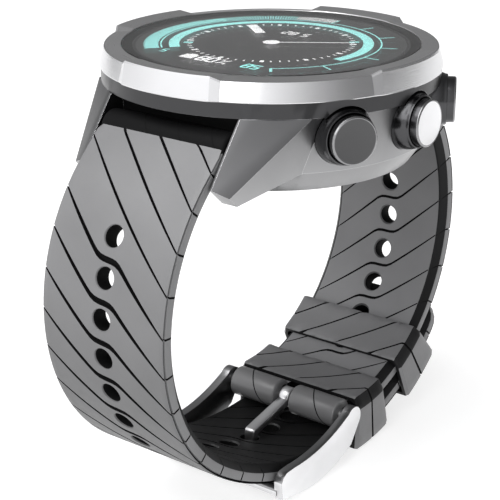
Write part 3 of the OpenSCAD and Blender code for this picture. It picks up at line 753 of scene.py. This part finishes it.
def cut_holes(ob, path, places):
    """Round holes with small countersinks, cut right through the strap."""
    top = [(0, 1.5), (2.8, 1.5), (1.72, 0.04), (1.58, -0.1), (1.52, -0.24)]
    low = [(1.52, -2.56), (1.58, -2.7), (1.72, -2.84), (2.8, -4.3), (0, -4.3)]
    bm = bmesh.new()
    for s in places:
        y, z, n = path.at(s)
        out = Vector((0, n[0], n[1]))
        along = Vector((1, 0, 0))
        turn = Matrix((along, out.cross(along), out)).transposed().to_4x4()
        turn.translation = Vector((0, y * MM, z * MM))
        # Slot 1 is the hole's wall, painted dark as shade
        lathe(top + low, turn, segs=40, bm=bm, slots=[0, 0, 0, 0, 1, 0, 0, 0, 0])
    subtract(ob, finish_mesh(bm, ob.name + "_cutter", [RUBBER, GROOVE_SHADE], angle=40))
    ob.data.set_sharp_from_angle(angle=math.radians(28))


def barrel(name, at, r, x0, x1, mat, fillet):
    """Round bar along X with rounded ends, about a point (y, z)."""
    steps = 4
    profile = [(0, x0), (r - fillet, x0)]
    for n in range(1, steps + 1):
        a = 90 * n / steps
        profile.append((r - fillet + fillet * sind(a), x0 + fillet - fillet * cosd(a)))
    for n in range(steps):
        a = 90 * n / steps
        profile.append((r - fillet + fillet * cosd(a), x1 - fillet + fillet * sind(a)))
    profile += [(r - fillet, x1), (0, x1)]
    turn = (Matrix.Translation((0, at[0] * MM, at[1] * MM))
            @ Matrix.Rotation(math.pi / 2, 4, "Y"))
    return finish_mesh(lathe(profile, turn, segs=64), name, [mat], angle=40)


def coils(name, at, r, slope, a0, a1, starts):
    """Thin lines that wind along a round bar, sunk into it, one from each start, painted dark as
    groove shade.
    """
    steps = 40
    pen = 0.11          # half the width of a line
    sunk, proud = -0.1, 0.012
    bm = bmesh.new()
    for x0 in starts:
        rings = []
        for i in range(steps + 1):
            a = a0 + (a1 - a0) * i / steps
            out = Vector((0, cosd(a), sind(a)))
            c = Vector((x0 + slope * (a - a0), at[0] + r * cosd(a), at[1] + r * sind(a)))
            rings.append([bm.verts.new((c + out * p + Vector((q, 0, 0))) * MM)
                          for p, q in ((sunk, -pen), (proud, -pen), (proud, pen), (sunk, pen))])
        for p, q in zip(rings, rings[1:]):
            for j in range(4):
                k = (j + 1) % 4
                bm.faces.new((p[j], q[j], q[k], p[k]))
        bm.faces.new(rings[0])
        bm.faces.new(rings[-1][::-1])
    return finish_mesh(bm, name, [GROOVE_SHADE], angle=40)


def strap_root(name, side):
    """Root of a strap round its bar, painted near black as shade."""
    return barrel(name, (side * BAR_Y, BAR_Z), ROOT_R, -HALF + 0.05, HALF - 0.05, ROOT_SHADE,
                  fillet=0.6)


def hole_side():
    """6 o'clock half: adjustment holes, slanted grooves and a tapered, rounded free end."""
    path = Path(-1, CENTRE_B, BEND_B, [(CENTRE_B, BEND_B, BOTTOM_FROM),
                                       (CENTRE_C, BOTTOM_R, LAP_FROM),
                                       (CENTRE_A, LAP_R, 360 + FREE_END)])
    first = 152.6       # angle of the first hole
    past_bend = 8       # holes beyond the last one of the side bend
    count = int((BOTTOM_FROM - first) / math.degrees(HOLE_PITCH / BEND_B)) + past_bend
    s_first = path.s_of(first)
    to_groove = 3.25    # from a hole to the groove that follows it
    core, blend = 1.7, 0.9      # the slope changes at the first width, blended to either side
    drift, slant = 0.1, 0.9     # slope of a groove inside that width, and outside it

    def shear(x, straight):
        a = abs(x)
        jog = drift * min(a, core) + slant * max(0.0, a - core)
        if abs(a - core) < blend:
            u = (a - core + blend) / (2 * blend)
            jog = (drift * (core - blend)
                   + 2 * blend * (drift * u + (slant - drift) * u * u / 2))
        plain = 0.88 * (x - HALF) + drift * core + slant * (HALF - core)
        return math.copysign(jog, x) * (1 - straight) + plain * straight

    # Grooves lie between the holes, and slant evenly where there are no holes, near the case
    grooves = [(s_first + to_groove + HOLE_PITCH * i, 1 if i < 0 else 0) for i in range(-6, 26)]
    band = strap("strap_hole_band", path, shear, grooves, BAND_FROM, path.length - 0.05,
                 INNER_SHADE, corner_from=1.4, corner_to=4.5, taper=2.2)
    cut_holes(band, path, [s_first + i * HOLE_PITCH for i in range(count)])
    groove_shade_lines = coils("root_6_lines", (-BAR_Y, BAR_Z), ROOT_R, 0.03, 20, 200, (-6.4, -0.7, 5.0))
    join(band, strap_root("root_6", -1), groove_shade_lines)
    put(band, "case", "strap_silicone", "strap_hole_side")


def buckle_side():
    """12 o'clock half: round vents, chevron grooves and two knuckles round the buckle bar."""
    path = Path(1, CENTRE_A, BEND_A, [(CENTRE_A, BEND_A, HINGE_AT)])
    first = 5.8         # angle of the first vent
    vents = [path.s_of(first - VENT_PITCH * i) for i in range(6)]
    pitch = math.radians(VENT_PITCH) * BEND_A
    flat, full = 0.9, 2.5   # the chevron is flat up to the first width, and slants past the next
    slant = 1.02

    def shear(x, straight):
        a = abs(x)
        if a < flat:
            jog = 0.0
        elif a < full:
            u = (a - flat) / (full - flat)
            jog = slant * (full - flat) * u * u / 2
        else:
            jog = slant * (full - flat) / 2 + slant * (a - full)
        return -math.copysign(jog, x)

    grooves = [(vents[0] + pitch * (i - 0.52), 0) for i in range(-5, 13)]
    band = strap("strap_buckle_band", path, shear, grooves, BAND_FROM, path.length - 0.3,
                 INNER_LIGHT_SHADE, corner_from=1.4, depth_out=0.4, depth_in=0.32)
    cut_holes(band, path, vents)
    # The slot for the tongue parts the band into two knuckles at the buckle bar
    slot_half = 1.5
    # The slot's cut faces are painted dark as shade
    subtract(band, barrel("slot_cut", HINGE, 3.1, -slot_half, slot_half, GROOVE_SHADE, fillet=0.05))
    end = HALF - 0.6
    right = barrel("knuckle_1", HINGE, KNUCKLE_R, slot_half, end, KNUCKLE, fillet=0.3)
    left = barrel("knuckle_2", HINGE, KNUCKLE_R, -end, -slot_half, KNUCKLE, fillet=0.3)
    groove_shade_lines = coils("knuckle_lines", HINGE, KNUCKLE_R, 0.026, 30, 230, (3.4, -8.6))
    join(band, strap_root("root_12", 1), right, left, groove_shade_lines)
    put(band, "case", "strap_silicone", "strap_buckle_side")


# ---------------------------------------------------------------- keepers
def keeper(name, node, body, at):
    """Grooved rubber loop round both straps, about an angle on the buckle side's bend."""
    span = 17.0         # degrees that the loop covers
    wall = 0.9
    w_in = HALF + 0.2
    w = w_in + wall
    r_in = BEND_A - STRAP_T - 0.1
    r_low = r_in - wall
    r_high = max(math.hypot(v.co.y / MM - CENTRE_A[0], v.co.z / MM - CENTRE_A[1])
                 for v in NODES[node].data.vertices) - 0.02
    bevel = 1.25
    low_w, top_w = w - bevel, w - 0.9
    side_from, side_to = r_low + 2.1, r_high - 0.5
    n = 26

    # Outline of the outside, from the wrist side round: (x, r, groove weight, way in, slot)
    bottom = [(-low_w + 2 * low_w * i / n, r_low, 1.0, (0, 1), 0) for i in range(n + 1)]
    # Slot 2, the lower bevels, is painted shade
    right = [(low_w + 0.45, r_low + 0.1, 0.9, (-0.3, 0.9), 2),
             (w - 0.35, r_low + 1.1, 0.6, (-0.8, 0.6), 2),
             (w - 0.08, r_low + 1.75, 0.6, (-1, 0), 2)]
    right += [(w, side_from + (side_to - side_from) * t / 5, 0.6, (-1, 0), 0) for t in range(6)]
    right += [(w - 0.18, r_high - 0.14, 0.8, (-0.7, -0.7), 0), (w - 0.55, r_high, 1.0, (0, -1), 0)]
    top = [(top_w - 2 * top_w * i / n, r_high, 1.0, (0, -1), 0) for i in range(n + 1)]
    left = [(-x, r, g, (-way[0], way[1]), 0) for x, r, g, way, _ in reversed(right)]
    loop = bottom + right + top + left
    inner = []
    for x, r, *_ in loop:
        x_in = max(-w_in, min(w_in, x * w_in / w))
        if abs(x) > low_w and r < r_low + 1.9:
            x_in = x - math.copysign(wall, x) * 0.95
        inner.append((x_in, max(r_in, min(r_high - wall, r))))

    # Rows across the loop: (angle, groove on or off)
    slope = 2.0         # degrees that a groove leads per millimetre across
    margin = 0.8        # degrees kept plain beside a groove and at the rims
    a0, a1 = at - span / 2, at + span / 2
    start, end = a0 - slope * w - 2, a1 + slope * w + 2
    first, pitch = -50.3, 13.9
    grooves = sorted(first - pitch * i for i in range(-3, 5))
    marks = [start] + [g for g in grooves if start < g < end] + [end]
    rows = []
    for i, g in enumerate(marks):
        if 0 < i < len(marks) - 1:
            rows += [(g - 0.42, 0), (g - 0.26, 1), (g + 0.26, 1), (g + 0.42, 0)]
        if i < len(marks) - 1:
            a, b = g + margin, marks[i + 1] - margin
            m = max(2, int((b - a) / 2.0))
            rows += [(a + (b - a) * k / m, 0) for k in range(m + 1)]

    bm = bmesh.new()
    edge = 0.35         # radius of the rounded rims
    groove_depth = 0.35

    def vert(x, r, a):
        return bm.verts.new((x * MM, (CENTRE_A[0] + r * cosd(a)) * MM,
                             (CENTRE_A[1] + r * sind(a)) * MM))

    def inner_ring(a):
        return [vert(x, r, a) for x, r in inner]

    def bridge(ring, following):
        for j in range(len(loop)):
            k = (j + 1) % len(loop)
            f = bm.faces.new((ring[j], ring[k], following[k], following[j]))
            # The loop's inside and its ends are painted shade
            f.material_index = 2

    grid = []
    for t, on in rows:
        line = []
        for x, r, weight, way, _ in loop:
            a = t + slope * max(-HALF, min(HALF, x))
            cut = on * weight * groove_depth if a0 + margin < a < a1 - margin else 0.0
            a = max(a0, min(a1, a))
            cut += corner_inset(min(a - a0, a1 - a) * math.radians(r), edge)
            line.append(vert(x + way[0] * cut, r + way[1] * cut, a))
        grid.append(line)
    skin(bm, grid, [row[1] for row in rows], loop)
    ends = []
    for a in (a0, a1):
        rim = [vert(x + way[0] * edge, r + way[1] * edge, a) for x, r, _, way, _ in loop]
        ends.append(inner_ring(a))
        bridge(rim, ends[-1])
    steps = 8
    between = [inner_ring(a0 + (a1 - a0) * k / steps) for k in range(1, steps)]
    rings = [ends[0]] + between + [ends[1]]
    for ring, following in zip(rings, rings[1:]):
        bridge(ring, following)
    put(finish_mesh(bm, name, [RUBBER_LOOP, GROOVE_SHADE, BEVEL_SHADE], angle=30), body, "strap_silicone", node)


# ---------------------------------------------------------------- buckle and case
def softened(node, name, mats, flat_angle, slot_of, angle, bevel):
    """Copy of a CAD node with bevelled edges and its materials set face by face, painted light and
    shade among them.
    """
    bm = bmesh.new()
    bm.from_mesh(NODES[node].data)
    bmesh.ops.remove_doubles(bm, verts=bm.verts, dist=2e-6)
    bmesh.ops.dissolve_limit(bm, angle_limit=math.radians(flat_angle), verts=bm.verts,
                             edges=bm.edges)
    for f in bm.faces:
        f.material_index = slot_of(f, f.calc_center_median() / MM)
    return finish_mesh(bm, name, mats, angle=angle, bevel=bevel)


def buckle():
    """Polished frame with painted highlights on its outer sides and painted shade on its upper
    faces, inner sides and bevels, and its tongue.
    """
    def frame_slot(f, c):
        # Slot 1 on the outer sides is painted highlight; slot 2 on the upward faces and inner sides
        # and the bevels' slot 3 are painted shade
        if abs(f.normal.x) > 0.9 and abs(c.x) > 12.0:
            return 1
        return 2 if f.normal.z > 0.3 or abs(f.normal.x) > 0.9 else 0

    rails = softened("buckle_frame", "buckle_rails", [POLISH, RAIL_HIGHLIGHT, RAIL_TOP_SHADE, RAIL_LINE_SHADE], 1.0,
                     frame_slot, 35, (0.18, 35, 2, 3))
    put(rails, "buckle_frame_body", "buckle_steel", "buckle_frame")
    tongue = softened("buckle_tongue", "tongue_bar", [POLISH], 1.0, lambda f, c: 0, 35,
                      (0.14, 35, 2, 0))
    put(tongue, "tongue_body", "buckle_steel", "buckle_tongue")


def case():
    """Grey case: a dark flange, lug tops painted darker as shade, bevels painted brighter as
    highlights, and recesses for the straps and the inside painted black as shade.
    """
    flange_low, flange_high, flange_r = 11.75, 13.95, 23
    lug_top, lug_x, lug_y = 11.9, 10.9, 15
    recess_x, recess_y, well_r = 11.02, 19.0, 20.5

    def case_slot(f, c):
        farthest = max(math.hypot(v.co.x, v.co.y) for v in f.verts) / MM
        on_flange = flange_low <= c.z <= flange_high and math.hypot(c.x, c.y) > flange_r
        on_lug = abs(c.x) >= lug_x and abs(c.y) > lug_y and c.z < lug_top
        in_recess = abs(c.x) < recess_x and abs(c.y) > recess_y and c.z < lug_top
        # Slot 2 on the lug tops and slot 3 in the recesses are painted shade; the bevels' slot 4 is
        # painted highlight
        if on_flange and abs(f.normal.z) < 0.3:
            return 1
        if on_lug and f.normal.z > 0.35:
            return 2
        return 3 if in_recess or farthest < well_r else 0

    shell = softened("case_body", "case_shell", [BODY, FLANGE, LUG_TOP_SHADE, RECESS_SHADE, EDGE_HIGHLIGHT], 0.6, case_slot,
                     22, (0.13, 24, 2, 4))
    put(shell, "case", "case_metal", "case_body")


def repaint():
    """Finishes for the CAD pieces that keep their own shape."""
    finish = {"lens_gasket": BLACK, "display_module": MASK, "main_board": BOARD,
              "inner_frame": BACK, "battery": CELL, "vibration_motor": PLAIN_STEEL,
              "case_back": BACK, "back_gasket": BLACK, "sensor_window": GLOSS,
              "pressure_sensor": PLAIN_STEEL, "strap_bar_12": PLAIN_STEEL,
              "strap_bar_6": PLAIN_STEEL, "buckle_bar": POLISH}
    for i in (1, 2, 3, 4):
        finish["back_screw_%d" % i] = PLAIN_STEEL
        finish["charge_pad_%d" % i] = GOLD
    for i in (1, 2, 3):
        finish["pusher_seal_%d" % i] = BLACK
        finish["pusher_clip_%d" % i] = PLAIN_STEEL
    for end in ("12_right", "12_left", "6_right", "6_left"):
        finish["bar_tip_" + end] = PLAIN_STEEL
    for node, mat in finish.items():
        me = NODES[node].data
        me.materials.clear()
        me.materials.append(mat)
        for p in me.polygons:
            p.material_index = 0


# ---------------------------------------------------------------- camera, lights, floor
def aim(ob, at, way):
    """Places an object and turns its -Z along a direction, with Y up."""
    ob.location = at
    ob.rotation_mode = "QUATERNION"
    ob.rotation_quaternion = Vector(way).to_track_quat("-Z", "Y")
    bpy.context.scene.collection.objects.link(ob)


def camera():
    """Long lens at the photograph's viewing angle, in metres."""
    lens_data = bpy.data.cameras.new("camera")
    lens_data.lens = 100
    lens_data.sensor_width = 36
    lens_data.shift_x = -0.0174
    lens_data.shift_y = 0.0046
    lens_data.clip_start = 0.01
    lens_data.clip_end = 20
    ob = bpy.data.objects.new("camera", lens_data)
    aim(ob, (0.1164, -0.1586, 0.0604), (-0.5585, 0.7465, -0.3616))
    bpy.context.scene.camera = ob


def studio():
    """Grey surroundings that brighten towards the 6 o'clock side."""
    world = bpy.data.worlds.new("studio")
    world.use_nodes = True
    nt = world.node_tree
    direction = shader_node(nt, "TexCoord").outputs["Generated"]
    facing = shader_node(nt, "VectorMath", links={0: direction})
    facing.operation = "DOT_PRODUCT"
    facing.inputs[1].default_value = (-0.25, -0.93, 0.27)
    share = shader_node(nt, "MapRange", {"From Min": -1}, {"Value": facing.outputs["Value"]})
    ramp = shader_node(nt, "ValToRGB", links={"Fac": share.outputs["Result"]})
    stops = ramp.color_ramp.elements
    for position, v in ((0.0, 0.20), (0.42, 0.24), (0.62, 0.5), (0.8, 1.0), (0.95, 1.25)):
        stops.new(position).color = (v, v, v * 1.01, 1)
    # The ramp's own two end stops go
    stops.remove(stops[-1])
    stops.remove(stops[0])
    background = nt.nodes["Background"]
    nt.links.new(ramp.outputs["Color"], background.inputs["Color"])
    background.inputs["Strength"].default_value = 1.0
    bpy.context.scene.world = world
    bpy.context.scene.view_settings.view_transform = "Standard"


def area_light(name, at, size, power):
    """Soft square light that faces the middle of the watch."""
    light = bpy.data.lights.new(name, "AREA")
    light.energy = power
    light.size = size
    aim(bpy.data.objects.new(name, light), at, Vector((0, 0, -0.02)) - Vector(at))


def floor():
    """Plain pale floor just under the buckle."""
    z = CAD_BOX[0].z - 0.0002
    reach = 3
    me = bpy.data.meshes.new("floor")
    me.from_pydata([(-reach, -reach, z), (reach, -reach, z), (reach, reach, z),
                    (-reach, reach, z)], [], [(0, 1, 2, 3)])
    pale, _, shader = new_material("floor_pale")
    shader.inputs["Base Color"].default_value = (0.55, 0.55, 0.55, 1)
    shader.inputs["Roughness"].default_value = 0.9
    shader.inputs["Emission Color"].default_value = (1, 1, 1, 1)
    shader.inputs["Emission Strength"].default_value = 0.7
    me.materials.append(pale)
    add_object("floor", me)


# ---------------------------------------------------------------- build
camera()
studio()
area_light("key", (-0.12, -0.42, 0.75), 0.7, 4.5)
area_light("fill", (0.15, -0.7, 0.35), 0.3, 0.6)
floor()

bezel()
lens()
dial()
pushers()
hole_side()
buckle_side()
keeper("keeper_band_upper", "keeper_upper", "keeper_upper_body", -56.7)
keeper("keeper_band_lower", "keeper_lower", "keeper_lower_body", -84.6)
buckle()
case()
repaint()
